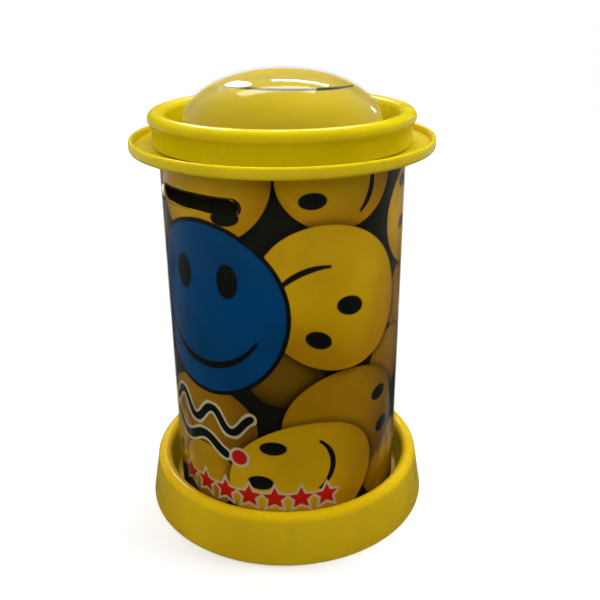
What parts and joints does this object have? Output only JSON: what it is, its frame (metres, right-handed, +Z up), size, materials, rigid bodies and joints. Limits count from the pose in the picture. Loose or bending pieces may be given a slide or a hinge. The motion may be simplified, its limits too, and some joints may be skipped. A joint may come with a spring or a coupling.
{
  "type": "coin bank jar",
  "caption": "Round coin bank: printed clear tube with a coin slot, flared base, dished collar and a domed cap that pulls off.",
  "frame": {"origin": "centre of the base's underside, on the surface that the jar stands on", "axes": "+Z up along the tube's axis; the coin slot faces -Y"},
  "size_m": [0.112, 0.112, 0.1685],
  "materials": {
    "yellow_plastic": "moulded, satin gloss",
    "clear_plastic": "clear, glossy",
    "printed_film": "printed film with round faces and a blue disc",
    "dome_print": "printed film"
  },
  "bodies": {
    "jar": {"base": "yellow_plastic", "tube": "clear_plastic", "printed_liner": "printed_film", "collar": "yellow_plastic"},
    "cap": {"cap_ring": "yellow_plastic", "clear_dome": "clear_plastic", "printed_dome": "dome_print", "dome_retainer": "yellow_plastic"}
  },
  "joints": [
    {"name": "cap_lift", "type": "slide", "parent": "jar", "child": "cap", "axis": [0, 0, 1], "range_m": [0, 0.03]}
  ]
}
